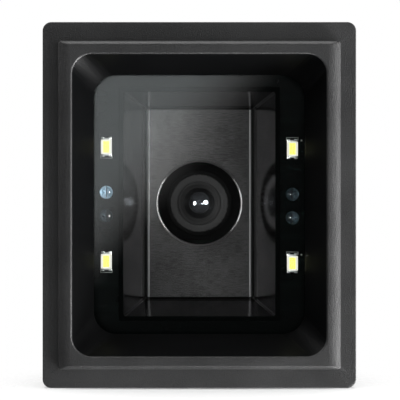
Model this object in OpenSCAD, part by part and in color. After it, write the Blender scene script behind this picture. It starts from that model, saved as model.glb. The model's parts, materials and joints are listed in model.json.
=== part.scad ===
// Fixed barcode reader that sits behind a panel cut-out and looks out through it.
// X is to the right seen from the front, Y runs back from the panel face of the flange, Z is up.
// The Y axis is the optical axis. Lengths are in millimetres.

/* [Window recess] */
// Width of the sight opening at the bottom of the recess
sight_w = 46.7; // [44:0.1:52]
// Height of the sight opening at the bottom of the recess
sight_h = 57.3; // [54:0.1:64]
// Corner radius of the sight opening
sight_r = 5; // [3.5:0.1:6]
// Flare of the recess on the left and on the right
flare_x = 4.25; // [3.4:0.05:6]
// Flare of the recess at the top and at the bottom
flare_z = 4.1; // [3.2:0.05:6]
// Corner radius of the recess at its mouth
mouth_r = 4.4; // [3:0.1:7]
// Depth of the recess from the front of the rim to the window seat
recess_depth = 9.1; // [7.5:0.1:12]

/* [Rim and flange] */
// Width of the rim beside the mouth
rim_band_x = 2.9; // [2.2:0.1:3.8]
// Width of the rim above and below the mouth
rim_band_z = 2.7; // [2.2:0.1:5]
// Height of the rim over the panel face
rim_proud = 1.8; // [1.4:0.1:3]
// Radius of the roll-off on the left and on the right of the rim
rim_roll_r = 5.5; // [4.5:0.1:9]
// Flat part of the rim between the mouth and the roll-off
roll_start = 0.2; // [0.1:0.05:0.8]
// Chamfer along the top and bottom edges of the rim
rim_chamfer = 0.65; // [0.2:0.05:1]
// Corner radius of the rim
rim_corner_r = 0.6; // [0.3:0.1:2]
// Reach of the flange past the rim on the left and on the right
flange_step_x = 3.5; // [2.8:0.1:6]
// Reach of the flange past the rim at the top and at the bottom
flange_step_z = 4.25; // [2.8:0.05:6]
// Thickness of the flange
flange_t = 3.2; // [2.5:0.1:5]
// Corner radius of the flange
flange_r = 1.9; // [1:0.1:5]

/* [Window] */
// Overlap of the pane behind the edge of the sight opening
pane_overlap = 1.15; // [0.9:0.05:1.6]
// Thickness of the pane
pane_t = 1.8; // [1.2:0.1:3]
// Thickness of the adhesive frame under the pane
tape_t = 0.3; // [0.1:0.05:0.6]
// Distance of the adhesive frame from the edge of the sight opening
tape_setback = 0.15; // [0.05:0.05:0.4]
// Gap between the pane and its pocket
pane_clear = 0.15; // [0.1:0.05:0.4]

/* [Bezel back] */
// Wall around the window pocket and the back of the recess
pocket_wall = 1.2; // [0.9:0.1:1.6]
// Corner radius of that wall on its outside
funnel_r = 4; // [3:0.1:5]
// Depth of the pocket past the back of the pane
pocket_extra = 0.2; // [0.1:0.1:1]
// Room above and below the window pocket, inside the housing
end_room = 3.8; // [3.3:0.1:6]
// Thickness of the spigot that enters the housing
spigot_t = 1.2; // [0.9:0.1:1.6]
// Gap between the spigot and the housing
spigot_clear = 0.15; // [0.1:0.05:0.3]
// Plastic left beside a screw boss
boss_cover = 0.2; // [0.1:0.05:0.5]
// Distance of the case bosses from the outside of the spigot
boss_margin = 0.3; // [0.2:0.05:0.5]
// Radius of the bosses that take the tunnel screws
hood_boss_r = 1.9; // [1.7:0.1:2.4]
// Height of the tunnel screws over and under the optical axis
hood_screw_z = 18; // [14:0.5:21]
// Radius of the bosses that take the case screws
case_boss_r = 2.6; // [2.2:0.1:3]
// Length of the bosses that take the case screws
case_boss_len = 12.8; // [11:0.1:15]

/* [Illumination board] */
// Thickness of the illumination board and of the main board
board_t = 1.6; // [1:0.1:2]
// Reach of the board past the pane on the left and on the right
light_board_reach_x = 0.5; // [0.2:0.1:1]
// Reach of the board past the pane at the top and at the bottom
light_board_reach_z = 1.4; // [0.8:0.1:1.8]
// Corner radius of the board
light_board_r = 7; // [6.5:0.1:9]
// Width of the board's tabs and of the tunnel's ears
tab_w = 5; // [4:0.1:6]

/* [LEDs] */
// Width of a white LED
led_w = 2.4; // [2:0.1:3]
// Height of a white LED
led_h = 3.2; // [2.6:0.1:4]
// Thickness of a white LED
led_t = 0.8; // [0.6:0.05:1.2]
// Rim of a white LED around its phosphor
led_rim_x = 0.5; // [0.2:0.05:0.7]
// Rim of a white LED above and below its phosphor
led_rim_z = 0.3; // [0.2:0.05:0.7]
// Depth of the phosphor in a white LED
phosphor_t = 0.35; // [0.2:0.05:0.5]
// Sink of the phosphor under the LED's face
phosphor_sink = 0.05; // [0.02:0.01:0.15]
// Width of an LED terminal
terminal_w = 1.6; // [1:0.1:2]
// Length of an LED terminal past the package
terminal_len = 0.4; // [0.2:0.05:0.8]
// Thickness of an LED terminal
terminal_t = 0.3; // [0.15:0.05:0.5]
// Distance of the LEDs from the edge of the tunnel mouth
led_inset = 3.7; // [3:0.1:4.2]
// Spacing of the two white LEDs on one side
led_pitch = 25.7; // [20:0.1:32]
// Diameter of a domed LED
dome_d = 3; // [2.4:0.1:3.4]
// Height of the straight foot of a domed LED
dome_foot = 0.6; // [0.3:0.1:1.2]
// Gap between the domed LEDs and the pane
dome_clear = 0.5; // [0.3:0.1:2]
// Spacing of the two domed LEDs on one side
dome_pitch = 5.3; // [4.5:0.1:8]
// How much lower the right-hand LEDs sit
right_drop = 0.45; // [0.1:0.05:1]

/* [Light tunnel] */
// Width of the board strip between the sight opening and the tunnel mouth
led_strip_w = 6.15; // [5.6:0.05:7]
// Height of the board strip between the sight opening and the tunnel mouth
led_strip_h = 3.35; // [2.8:0.05:5]
// How much the tunnel narrows on the left and on the right
tunnel_taper_x = 4.7; // [3.8:0.05:5.4]
// How much the tunnel narrows at the top and at the bottom
tunnel_taper_z = 3.5; // [2.5:0.05:5]
// Depth of the tunnel
tunnel_depth = 9; // [8:0.1:14]
// Wall of the tunnel
tunnel_wall = 1.4; // [1:0.1:2]
// Radius in the corners of the tunnel
tunnel_r = 0.6; // [0.4:0.1:1.5]
// Wall of the collar that passes through the board
collar_wall = 0.8; // [0.6:0.1:1.2]
// Height of the collar over the board
collar_proud = 0.4; // [0.1:0.1:0.8]
// Gap between the collar and the board
collar_clear = 0.15; // [0.1:0.05:0.3]
// Lip of the tunnel behind the board
tunnel_lip = 1.2; // [0.8:0.1:1.4]
// Thickness of the tunnel's lip and ears
ear_t = 1.6; // [1.2:0.1:2.4]
// Radius of the bosses that take the bracket screws
bracket_boss_r = 2.2; // [1.9:0.1:2.6]
// How far those bosses sink into the wall of the tunnel
bracket_boss_sink = 0.3; // [0.2:0.1:0.6]
// Height of the bracket screws over and under the optical axis
bracket_screw_z = 14.5; // [12:0.5:18]

/* [Camera bracket] */
// Thickness of the raised plate at the bottom of the tunnel
pad_t = 1; // [0.6:0.1:2]
// Gap between the plate and the tunnel on the left and on the right
pad_side_gap = 0.55; // [0.2:0.05:0.8]
// Gap between the plate and the tunnel at the top and at the bottom
pad_end_gap = 0.2; // [0.05:0.05:0.4]
// Chamfer along the left and right edges of the plate
pad_chamfer = 0.35; // [0.1:0.05:0.6]
// Diameter of the round hole in front of the lens
lens_hole_d = 18.9; // [17:0.05:21]
// Width of the chamfer around the round hole
lens_hole_chamfer = 0.5; // [0.2:0.05:0.8]
// Depth of the chamfer around the round hole
lens_hole_chamfer_depth = 0.25; // [0.1:0.05:0.5]
// Thickness of the bracket behind the plate
bracket_t = 1.6; // [1.2:0.1:3]
// Corner radius of the bracket
bracket_r = 2; // [1:0.1:3]
// Edge of the bracket past its screws and past the tunnel
bracket_edge = 0.6; // [0.3:0.1:2]
// Radius of the posts that carry the sensor board
post_r = 2.1; // [1.7:0.1:2.6]
// Gap between the posts and the lens holder
post_gap = 0.4; // [0.2:0.1:2]

/* [Lens] */
// Diameter of the head of the lens
lens_head_d = 13.4; // [13:0.1:15]
// Length of the head of the lens
lens_head_len = 4.5; // [3.8:0.1:5]
// Diameter of the threaded end of the lens
lens_thread_d = 12; // [11:0.1:12.6]
// Length of the lens
lens_len = 12.5; // [10.5:0.1:14]
// Set-back of the lens from the front of the plate
lens_setback = 1; // [0.4:0.1:2]
// Number of grip notches around the lens head
grip_count = 30; // [20:1:40]
// Radius of a grip notch
grip_r = 0.25; // [0.15:0.05:0.35]
// Radius of the retaining ring
retainer_r = 5.05; // [4.7:0.05:5.3]
// Depth of the seat of the retaining ring
retainer_depth = 2.4; // [2:0.1:2.8]
// Set-back of the retaining ring from the front of the lens
retainer_setback = 0.4; // [0.2:0.1:0.8]
// Radius of the opening of the retaining ring
retainer_hole_r = 3.6; // [3:0.05:3.8]
// Width of one step inside the retaining ring
retainer_step = 0.4; // [0.2:0.05:0.45]
// Radius of the front lens
front_lens_r = 4; // [3.9:0.05:4.3]
// Thickness of the rim of the front lens
front_lens_t = 1.6; // [1:0.1:2]
// Rise of the dome of the front lens
front_lens_rise = 1.1; // [0.6:0.05:1.5]
// Radius of the rear lens
rear_lens_r = 3.5; // [3:0.1:4]
// Thickness of the rear lens
rear_lens_t = 1.8; // [1.2:0.1:2.4]
// Set-back of the rear lens from the end of the barrel
rear_lens_setback = 0.4; // [0.2:0.1:1]
// Radius of the light path inside the barrel
stop_r = 2.4; // [1.8:0.1:2.8]

/* [Lens holder and sensor] */
// Gap between the head of the lens and the holder
focus_gap = 1; // [0.4:0.1:1.5]
// Wall of the holder around the thread
holder_wall = 1.6; // [1.2:0.1:2.2]
// Reach of the holder's square foot past the thread
holder_foot_reach = 3; // [2.6:0.1:4]
// Height of the holder's foot
holder_foot_h = 5; // [4.8:0.1:5.6]
// Wall of the holder's foot
holder_foot_wall = 1.5; // [1.2:0.1:2]
// Radius of the holder's screw ears
holder_ear_r = 1.9; // [1.6:0.1:2.2]
// Gap between the lens and the ledge in the holder
ledge_gap = 0.3; // [0.2:0.1:1]
// Thickness of the ledge in the holder
ledge_t = 0.9; // [0.6:0.1:1.4]
// Width of the light opening in the ledge
ledge_opening = 7; // [6:0.1:7.6]
// Depth of the space over the sensor
sensor_space = 3.5; // [3:0.1:5]
// Width of the filter
filter_w = 9; // [8.2:0.1:11]
// Thickness of the filter
filter_t = 0.5; // [0.3:0.05:0.8]
// Width of the sensor
sensor_w = 8.6; // [7:0.1:11]
// Thickness of the sensor
sensor_t = 1.4; // [1:0.1:2]
// Thickness of the sensor board
sensor_board_t = 1.2; // [0.8:0.1:1.6]
// Edge of the sensor board past its posts
sensor_board_edge = 0.8; // [0.4:0.1:2]

/* [Main board] */
// Distance between the sensor board and the main board
link_h = 6; // [2.9:0.1:9]
// Width of the connector between the two boards
link_w = 12; // [10:0.5:16]
// Height of the connector between the two boards
link_d = 3.6; // [3:0.1:5]
// Depth of the connector's socket
link_socket_h = 1.9; // [1.4:0.1:2.4]
// Distance of the connector under the optical axis
link_drop = 8.5; // [7:0.5:10]
// Gap between the main board and the housing's screw columns
main_board_clear = 0.5; // [0.3:0.1:1.5]
// Corner radius of the main board
main_board_r = 1; // [0.5:0.1:3]
// Distance of the main board's screws from its edges
main_screw_edge = 3.2; // [2.6:0.1:5]
// Width of the processor
processor_w = 12; // [9:0.5:13]
// Width of the memory chip
memory_w = 9; // [6:0.5:11]
// Thickness of the chips
chip_t = 1.2; // [0.8:0.1:1.3]
// Height of the chips over the optical axis
chip_z = 3; // [1:0.5:5]
// Distance of the processor from the side edge of the main board
chip_edge = 5.2; // [4.5:0.1:6]
// Distance between the chips
chip_gap = 8; // [4:0.5:9]
// Diameter of the beeper
beeper_d = 9; // [7:0.5:10]
// Height of the beeper
beeper_h = 4; // [2.5:0.1:6]
// Distance of the beeper from the top edge of the main board
beeper_edge = 3.5; // [2:0.1:5]
// Distance of the beeper to the left of the optical axis
beeper_shift = 9; // [7:0.5:10]
// Radius of the sound hole in the beeper
beeper_hole_r = 0.9; // [0.5:0.1:1.5]

/* [Cable socket] */
// Width of the cable jack
jack_w = 15.6; // [15:0.1:18]
// Height of the cable jack over the main board
jack_h = 11.2; // [10.8:0.1:13]
// Length of the cable jack
jack_len = 15; // [14:0.1:17]
// Set-back of the jack's face from the housing
jack_setback = 0.2; // [0.1:0.1:1]
// Gap between the jack and the housing
jack_clear = 0.3; // [0.2:0.05:0.6]
// Width of the plug opening
socket_w = 11.8; // [11:0.1:12.4]
// Height of the plug opening
socket_h = 6.8; // [6.2:0.1:7.2]
// Depth of the plug opening
socket_depth = 12.5; // [11:0.1:13]
// Wall between the plug opening and the board
socket_wall = 1.5; // [1.2:0.1:1.8]
// Width of the latch slot
latch_w = 6.2; // [5.5:0.1:7]
// Height of the latch slot
latch_h = 1.6; // [1.2:0.1:1.8]
// Number of contacts in the jack
contact_count = 8; // [6:1:10]
// Spacing of the contacts
contact_pitch = 1.02; // [0.9:0.01:1.1]
// Width of a contact
contact_w = 0.45; // [0.3:0.05:0.6]
// Thickness of a contact
contact_t = 0.35; // [0.2:0.05:0.5]
// Length of a contact's root, along the wall of the opening
contact_root = 1.5; // [1:0.1:2]
// Reach of a contact's slope into the opening
contact_rise = 1.7; // [1.2:0.1:2]
// Length of a contact's slope
contact_run = 7; // [5:0.1:8]

/* [Ribbon] */
// Width of the ribbon cable
ribbon_w = 8; // [6:0.5:9]
// Thickness of the ribbon cable
ribbon_t = 0.3; // [0.2:0.05:0.4]
// Distance of the ribbon to the right of the optical axis
ribbon_shift = 8; // [6:0.5:9]
// Radius of the ribbon's bends
ribbon_bend_r = 1.4; // [1:0.1:1.8]
// Straight lead of the ribbon out of its connectors
ribbon_lead = 0.5; // [0.2:0.1:0.8]
// Wall of a ribbon connector beside the ribbon
plug_wall = 1; // [0.5:0.1:1.5]
// Height of a ribbon connector along the board
plug_h = 2.6; // [2:0.1:2.8]
// Thickness of a ribbon connector
plug_t = 1.6; // [1.2:0.1:2.4]
// Distance of a ribbon connector from the edge of its board
plug_edge = 0.5; // [0.3:0.1:1]

/* [Rear housing] */
// Wall of the housing
body_wall = 2.2; // [1.8:0.1:3]
// Corner radius of the housing
body_r = 4.5; // [3.5:0.1:6]
// Chamfer around the back of the housing
back_chamfer = 1.2; // [0.5:0.1:1.6]
// Thickness of the seal between the flange and the housing
seal_t = 0.8; // [0.5:0.1:1.5]
// Set-back of the seal from the outside of the housing
seal_setback = 0.3; // [0.1:0.1:0.8]
// Height of the bosses under the main board
main_boss_h = 2.9; // [1.2:0.1:4]
// Radius of the bosses under the main board
main_boss_r = 2.6; // [2.2:0.1:3]
// Wall of a screw column
column_wall = 1.1; // [0.8:0.1:1.3]
// Floor of a screw column
column_floor = 2.5; // [2:0.1:4]
// Gap between a screw column and its boss on the bezel
column_gap = 0.1; // [0.05:0.05:0.3]
// Radius of the well that leads to a case screw
well_r = 3.1; // [2.9:0.1:3.2]

/* [Mounting inserts] */
// Vertical spacing of the mounting inserts
mount_pitch_z = 32; // [26:1:38]
// Outer radius of an insert
insert_r = 2.3; // [2.1:0.1:2.5]
// Radius of the threaded hole of an insert
insert_hole_r = 1.25; // [1:0.05:1.5]
// Length of an insert
insert_len = 6; // [5:0.1:7]
// Depth of the groove around an insert
insert_groove = 0.25; // [0.1:0.05:0.4]
// Wall of the boss around an insert
insert_wall = 1.2; // [1:0.1:1.5]
// Floor of the boss behind an insert
insert_floor = 0.7; // [0.5:0.1:1.5]
// How far the boss sinks into the side wall
insert_sink = 0.5; // [0.3:0.1:1.2]

/* [Screws] */
// Radius of the shank of a board screw
board_screw_r = 1; // [0.8:0.05:1.1]
// Radius of the head of a board screw
board_head_r = 1.9; // [1.6:0.1:2]
// Height of the head of a board screw
board_head_h = 1.3; // [0.9:0.1:1.5]
// Radius of the shank of a holder screw
holder_screw_r = 0.8; // [0.6:0.05:0.9]
// Radius of the head of a holder screw
holder_head_r = 1.5; // [1.2:0.1:1.6]
// Height of the head of a holder screw
holder_head_h = 1; // [0.7:0.1:1.3]
// Radius of the shank of a case screw
case_screw_r = 1.3; // [1.1:0.05:1.4]
// Radius of the head of a case screw
case_head_r = 2.5; // [2.2:0.1:2.7]
// Height of the head of a case screw
case_head_h = 1.9; // [1.4:0.1:2.4]
// Bite of a tunnel screw in its boss
hood_bite = 3.4; // [2.5:0.1:4]
// Bite of a bracket screw in its boss
bracket_bite = 3.4; // [3:0.1:4]
// Bite of a sensor screw in its post
sensor_bite = 4; // [3:0.1:6]
// Bite of a holder screw in the holder's ear
holder_bite = 3; // [2:0.1:3.6]
// Bite of a main board screw in its boss
main_bite = 2.4; // [2:0.1:2.6]
// Bite of a case screw in its boss
case_bite = 6.9; // [5:0.1:8]
// Spare depth of a pilot hole past its screw
pilot_spare = 0.4; // [0.2:0.1:0.6]
// Gap between a screw and its pilot hole
pilot_clear = 0.05; // [0.02:0.01:0.1]
// Gap between a screw and a hole that it passes
pass_clear = 0.15; // [0.1:0.05:0.3]
// Gap between pieces that are pressed or screwed together
press_clear = 0.03; // [0.02:0.01:0.06]

/* [Hidden] */
$fn = 64;
hull_fn = 32;
// overlap of solids that are fused, and overshoot of cutters
weld = 0.5;
over = 1;
skin = 0.01;

// places along the optical axis, from the front to the back
rim_front = -rim_proud;
seat_y = rim_front + recess_depth;
pane_front = seat_y + tape_t;
pane_back = pane_front + pane_t;
pocket_back = pane_back + pocket_extra;
dome_h = dome_foot + dome_d / 2;
light_board_front = pane_back + dome_clear + dome_h;
light_board_back = light_board_front + board_t;
ear_back = light_board_back + ear_t;
tunnel_front = light_board_front - collar_proud;
tunnel_floor_y = tunnel_front + tunnel_depth;
tunnel_back = tunnel_floor_y + pad_t;
bracket_back = tunnel_back + bracket_t;
lens_front = tunnel_floor_y + lens_setback;
lens_back = lens_front + lens_len;
holder_front = lens_front + lens_head_len + focus_gap;
ledge_front = lens_back + ledge_gap;
ledge_back = ledge_front + ledge_t;
sensor_board_front = ledge_back + sensor_space;
sensor_board_back = sensor_board_front + sensor_board_t;
main_board_front = sensor_board_back + link_h;
main_board_back = main_board_front + board_t;
body_inner_back = main_board_back + main_boss_h;
body_back = body_inner_back + body_wall;
body_front = flange_t + seal_t;
case_boss_back = flange_t + case_boss_len;
column_front = case_boss_back + column_gap;
case_seat = column_front + column_floor;

// front view sizes, from the sight opening outwards
mouth_w = sight_w + 2 * flare_x;
mouth_h = sight_h + 2 * flare_z;
rim_w = mouth_w + 2 * rim_band_x;
rim_h = mouth_h + 2 * rim_band_z;
flange_w = rim_w + 2 * flange_step_x;
flange_h = rim_h + 2 * flange_step_z;
roll_x = mouth_w / 2 + roll_start;

pane_w = sight_w + 2 * pane_overlap;
pane_h = sight_h + 2 * pane_overlap;
pane_r = sight_r + pane_overlap;
pocket_w = pane_w + 2 * pane_clear;
pocket_h = pane_h + 2 * pane_clear;
pocket_r = pane_r + pane_clear;
flare_share = (seat_y - flange_t) / recess_depth;
funnel_w = 2 * pocket_wall + max(pocket_w, sight_w + 2 * flare_x * flare_share);
funnel_h = 2 * pocket_wall + max(pocket_h, sight_h + 2 * flare_z * flare_share);
hood_screw_x = pocket_w / 2 + boss_cover + hood_boss_r;
spigot_w = 2 * (hood_screw_x + hood_boss_r + boss_cover);
spigot_h = pocket_h + 2 * end_room;
body_inner_w = spigot_w + 2 * spigot_clear;
body_inner_h = spigot_h + 2 * spigot_clear;
body_inner_r = max(body_r - body_wall, 0.5);
spigot_r = body_inner_r - spigot_clear;
body_w = body_inner_w + 2 * body_wall;
body_h = body_inner_h + 2 * body_wall;
case_screw_x = spigot_w / 2 - case_boss_r - boss_margin;
case_screw_z = spigot_h / 2 - case_boss_r - boss_margin;
column_r = well_r + column_wall;
insert_boss_r = insert_r + insert_wall;
insert_x = body_inner_w / 2 + insert_sink - insert_boss_r;
insert_z = mount_pitch_z / 2;

tunnel_mouth_w = sight_w - 2 * led_strip_w;
tunnel_mouth_h = sight_h - 2 * led_strip_h;
tunnel_floor_w = tunnel_mouth_w - 2 * tunnel_taper_x;
tunnel_floor_h = tunnel_mouth_h - 2 * tunnel_taper_z;
collar_w = tunnel_mouth_w + 2 * collar_wall;
collar_h = tunnel_mouth_h + 2 * collar_wall;
bracket_screw_x = tunnel_floor_w / 2 + tunnel_wall + bracket_boss_r - bracket_boss_sink;
light_board_w = pane_w + 2 * light_board_reach_x;
light_board_h = pane_h + 2 * light_board_reach_z;
tab_end = hood_screw_x + hood_boss_r - boss_cover;
led_x = tunnel_mouth_w / 2 + led_inset;

pad_w = tunnel_floor_w - 2 * pad_side_gap;
pad_h = tunnel_floor_h - 2 * pad_end_gap;
bracket_w = 2 * (bracket_screw_x + bracket_boss_r + bracket_edge);
bracket_h = tunnel_floor_h + 2 * tunnel_wall + 2 * bracket_edge;
lens_r = lens_head_d / 2;
thread_r = lens_thread_d / 2;
holder_foot = lens_thread_d + 2 * holder_foot_reach;
holder_ear_x = holder_foot / 2 + holder_ear_r;
post_x = holder_foot / 2 + post_gap + post_r;
sensor_board_w = 2 * (max(post_x + post_r, holder_ear_x + holder_ear_r) + sensor_board_edge);
main_board_w = 2 * (case_screw_x - column_r - main_board_clear);
main_board_h = light_board_h;
main_screw_x = main_board_w / 2 - main_screw_edge;
main_screw_z = main_board_h / 2 - main_screw_edge;

// places of the pieces on the boards
jack_z = -body_h / 2 + jack_setback;
plug_top = light_board_h / 2 - plug_edge;
ribbon_top = plug_top + ribbon_lead + ribbon_bend_r;
beeper_z = main_board_h / 2 - beeper_edge - beeper_d / 2;
processor_x = chip_edge + processor_w / 2 - main_board_w / 2;
memory_x = processor_x + processor_w / 2 + chip_gap + memory_w / 2;

// Rectangle with round corners, drawn in the front view.
module rounded_rect(w, h, r) {
    square([w - 2 * r, h], center = true);
    square([w, h - 2 * r], center = true);
    for (sx = [-1, 1], sz = [-1, 1])
        translate([sx * (w / 2 - r), sz * (h / 2 - r)])
            circle(r = r);
}

// Gives a front view outline its depth, from y0 back to y1.
module plate(y0, y1) {
    translate([0, y1, 0])
        rotate([90, 0, 0])
            linear_extrude(y1 - y0)
                children();
}

// Gives a side view outline, drawn with Y across and Z up, its width from x0 to x1.
module across(x0, x1) {
    translate([x0, 0, 0])
        rotate([90, 0, 90])
            linear_extrude(x1 - x0)
                children();
}

// Gives a plan view outline its height, from z0 up to z1.
module upright(z0, z1) {
    translate([0, 0, z0])
        linear_extrude(z1 - z0)
            children();
}

// Round bar along the optical axis.
module rod(y0, y1, r) {
    translate([0, y0, 0])
        rotate([-90, 0, 0])
            cylinder(h = y1 - y0, r = r);
}

// Turns a profile of radius and depth around the optical axis.
module turned(y) {
    translate([0, y, 0])
        rotate([-90, 0, 0])
            rotate_extrude()
                children();
}

// Round hole edge broken by a chamfer at the front face y, of width w and depth d.
module countersink(y, r, w, d) {
    translate([0, y - skin, 0])
        rotate([-90, 0, 0])
            cylinder(h = d + skin, r1 = r + w * (d + skin) / d, r2 = r);
}

// Four places, mirrored left to right and top to bottom.
module four(x, z) {
    for (sx = [-1, 1], sz = [-1, 1])
        translate([sx * x, 0, sz * z])
            children();
}

// Two places, mirrored left to right.
module pair(x) {
    for (sx = [-1, 1])
        translate([sx * x, 0, 0])
            children();
}

// Places of the LEDs of one kind: the right-hand ones sit a little lower.
module led_places(pitch) {
    for (sx = [-1, 1], sz = [-1, 1])
        translate([sx * led_x, light_board_front, sz * pitch / 2 - (sx > 0 ? right_drop : 0)])
            children();
}

// Solid that runs straight from one round-cornered rectangle to another.
module loft(w0, h0, r0, y0, w1, h1, r1, y1) {
    hull() {
        plate(y0, y0 + skin)
            rounded_rect(w0, h0, r0, $fn = hull_fn);
        plate(y1 - skin, y1)
            rounded_rect(w1, h1, r1, $fn = hull_fn);
    }
}

// Tapered opening, carried on past both of its ends along the same walls.
module tapered_opening(w0, h0, r0, y0, w1, h1, r1, y1) {
    share = over / (y1 - y0);
    dw = (w0 - w1) * share;
    dh = (h0 - h1) * share;
    dr = (r0 - r1) * share;
    loft(w0 + dw, h0 + dh, r0 + dr, y0 - over, w1 - dw, h1 - dh, r1 - dr, y1 + over);
}

// Pan head screw with a cross recess: the head is behind y, the shank runs to the front.
module screw(y, shank_r, shank_len, head_r, head_h) {
    slot_w = head_r * 0.32;
    slot_len = head_r * 1.2;
    slot_depth = head_h * 0.6;
    translate([0, y, 0]) {
        rod(-shank_len, 0, shank_r);
        difference() {
            turned(0)
                polygon([[0, 0], [head_r, 0], [head_r, head_h * 0.5], [head_r * 0.7, head_h], [0, head_h]]);
            plate(head_h - slot_depth, head_h + over) {
                square([slot_w, slot_len], center = true);
                square([slot_len, slot_w], center = true);
            }
        }
    }
}

// Raised rim: rolled off at its sides, chamfered along its top and bottom edges.
module rim() {
    intersection() {
        plate(rim_front, weld)
            rounded_rect(rim_w, rim_h, rim_corner_r);
        upright(-rim_h / 2 - over, rim_h / 2 + over) {
            translate([-roll_x, rim_front])
                square([2 * roll_x, rim_proud + weld]);
            for (sx = [-1, 1])
                translate([sx * roll_x, rim_front + rim_roll_r])
                    circle(r = rim_roll_r);
        }
        across(-rim_w / 2 - over, rim_w / 2 + over)
            polygon([[weld, -rim_h / 2], [rim_front + rim_chamfer, -rim_h / 2],
                [rim_front, rim_chamfer - rim_h / 2], [rim_front, rim_h / 2 - rim_chamfer],
                [rim_front + rim_chamfer, rim_h / 2], [weld, rim_h / 2]]);
    }
}

// Moulded front: flange, rim, flared recess, window pocket, spigot and screw bosses.
module front_bezel() {
    color("#3a3b3d")
        difference() {
            union() {
                plate(0, flange_t)
                    rounded_rect(flange_w, flange_h, flange_r);
                rim();
                plate(flange_t - weld, pocket_back)
                    rounded_rect(funnel_w, funnel_h, funnel_r);
                plate(flange_t - weld, pocket_back)
                    difference() {
                        rounded_rect(spigot_w, spigot_h, spigot_r);
                        rounded_rect(spigot_w - 2 * spigot_t, spigot_h - 2 * spigot_t,
                            max(spigot_r - spigot_t, 0.3));
                    }
                four(case_screw_x, case_screw_z)
                    rod(flange_t - weld, case_boss_back, case_boss_r);
                four(hood_screw_x, hood_screw_z)
                    rod(flange_t - weld, light_board_front, hood_boss_r);
            }
            tapered_opening(mouth_w, mouth_h, mouth_r, rim_front, sight_w, sight_h, sight_r, seat_y);
            plate(seat_y, pocket_back + over)
                rounded_rect(pocket_w, pocket_h, pocket_r);
            four(case_screw_x, case_screw_z)
                rod(case_boss_back - case_bite - pilot_spare, case_boss_back + over,
                    case_screw_r + pilot_clear);
            four(hood_screw_x, hood_screw_z)
                rod(light_board_front - hood_bite - pilot_spare, light_board_front + over,
                    board_screw_r + pilot_clear);
        }
}

// Adhesive frame that seals and holds the pane on its seat.
module window_gasket() {
    color("#17181a")
        plate(seat_y, pane_front)
            difference() {
                rounded_rect(pane_w, pane_h, pane_r);
                rounded_rect(sight_w + 2 * tape_setback, sight_h + 2 * tape_setback,
                    sight_r + tape_setback);
            }
}

module window() {
    color("#9fb0b4", 0.35)
        plate(pane_front, pane_back)
            rounded_rect(pane_w, pane_h, pane_r);
}

// Outline shared by the board's tabs and the tunnel's ears.
module tab_outline(inner) {
    for (sx = [-1, 1], sz = [-1, 1])
        translate([sx * (inner + tab_end) / 2, sz * hood_screw_z])
            square([tab_end - inner, tab_w], center = true);
}

module hood_screw_holes() {
    for (sx = [-1, 1], sz = [-1, 1])
        translate([sx * hood_screw_x, sz * hood_screw_z])
            circle(r = board_screw_r + pass_clear);
}

// Ring-shaped board around the collar of the tunnel.
module illumination_board() {
    color("#0d1a16")
        plate(light_board_front, light_board_back)
            difference() {
                union() {
                    rounded_rect(light_board_w, light_board_h, light_board_r);
                    tab_outline(light_board_w / 2 - weld);
                }
                square([collar_w + 2 * collar_clear, collar_h + 2 * collar_clear], center = true);
                hood_screw_holes();
            }
}

module phosphor_pocket(depth) {
    plate(phosphor_sink - led_t, phosphor_sink + depth - led_t)
        square([led_w - 2 * led_rim_x, led_h - 2 * led_rim_z], center = true);
}

module led_packages() {
    color("#f2f2ea")
        led_places(led_pitch)
            difference() {
                plate(-led_t, 0)
                    square([led_w, led_h], center = true);
                translate([0, -phosphor_sink, 0])
                    phosphor_pocket(phosphor_sink + phosphor_t);
            }
}

module led_phosphors() {
    color("#d8e04a")
        led_places(led_pitch)
            phosphor_pocket(phosphor_t);
}

module led_terminals() {
    color("#c9cbcc")
        led_places(led_pitch)
            for (sz = [-1, 1])
                translate([0, 0, sz * (led_h + terminal_len) / 2])
                    plate(-terminal_t, 0)
                        square([terminal_w, terminal_len], center = true);
}

module aiming_leds() {
    color("#aebfc6", 0.6)
        led_places(dome_pitch)
            mirror([0, 1, 0])
                turned(0) {
                    square([dome_d / 2, dome_foot]);
                    translate([0, dome_foot])
                        intersection() {
                            circle(r = dome_d / 2);
                            square(dome_d / 2);
                        }
                }
}

// Drafted tunnel: its collar stands through the board, its lip and ears lie behind it.
module light_tunnel() {
    wall2 = 2 * tunnel_wall;
    color("#141516")
        difference() {
            union() {
                plate(tunnel_front, light_board_back + weld)
                    square([collar_w, collar_h], center = true);
                plate(light_board_back, ear_back)
                    difference() {
                        union() {
                            square([collar_w + 2 * tunnel_lip, collar_h + 2 * tunnel_lip], center = true);
                            tab_outline(collar_w / 2);
                        }
                        hood_screw_holes();
                    }
                loft(collar_w, collar_h, tunnel_r + tunnel_wall, light_board_back,
                    tunnel_floor_w + wall2, tunnel_floor_h + wall2, tunnel_r + tunnel_wall, tunnel_back);
                four(bracket_screw_x, bracket_screw_z)
                    rod(light_board_back + weld, tunnel_back, bracket_boss_r);
            }
            tapered_opening(tunnel_mouth_w, tunnel_mouth_h, tunnel_r, tunnel_front,
                tunnel_floor_w, tunnel_floor_h, tunnel_r, tunnel_floor_y);
            plate(tunnel_floor_y, tunnel_back + over)
                square([tunnel_floor_w, tunnel_floor_h], center = true);
            four(bracket_screw_x, bracket_screw_z)
                rod(tunnel_back - bracket_bite - pilot_spare, tunnel_back + over,
                    board_screw_r + pilot_clear);
        }
}

module tunnel_screws() {
    color("#6d6f72")
        four(hood_screw_x, hood_screw_z)
            screw(ear_back, board_screw_r, ear_t + board_t + hood_bite, board_head_r, board_head_h);
}

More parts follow.
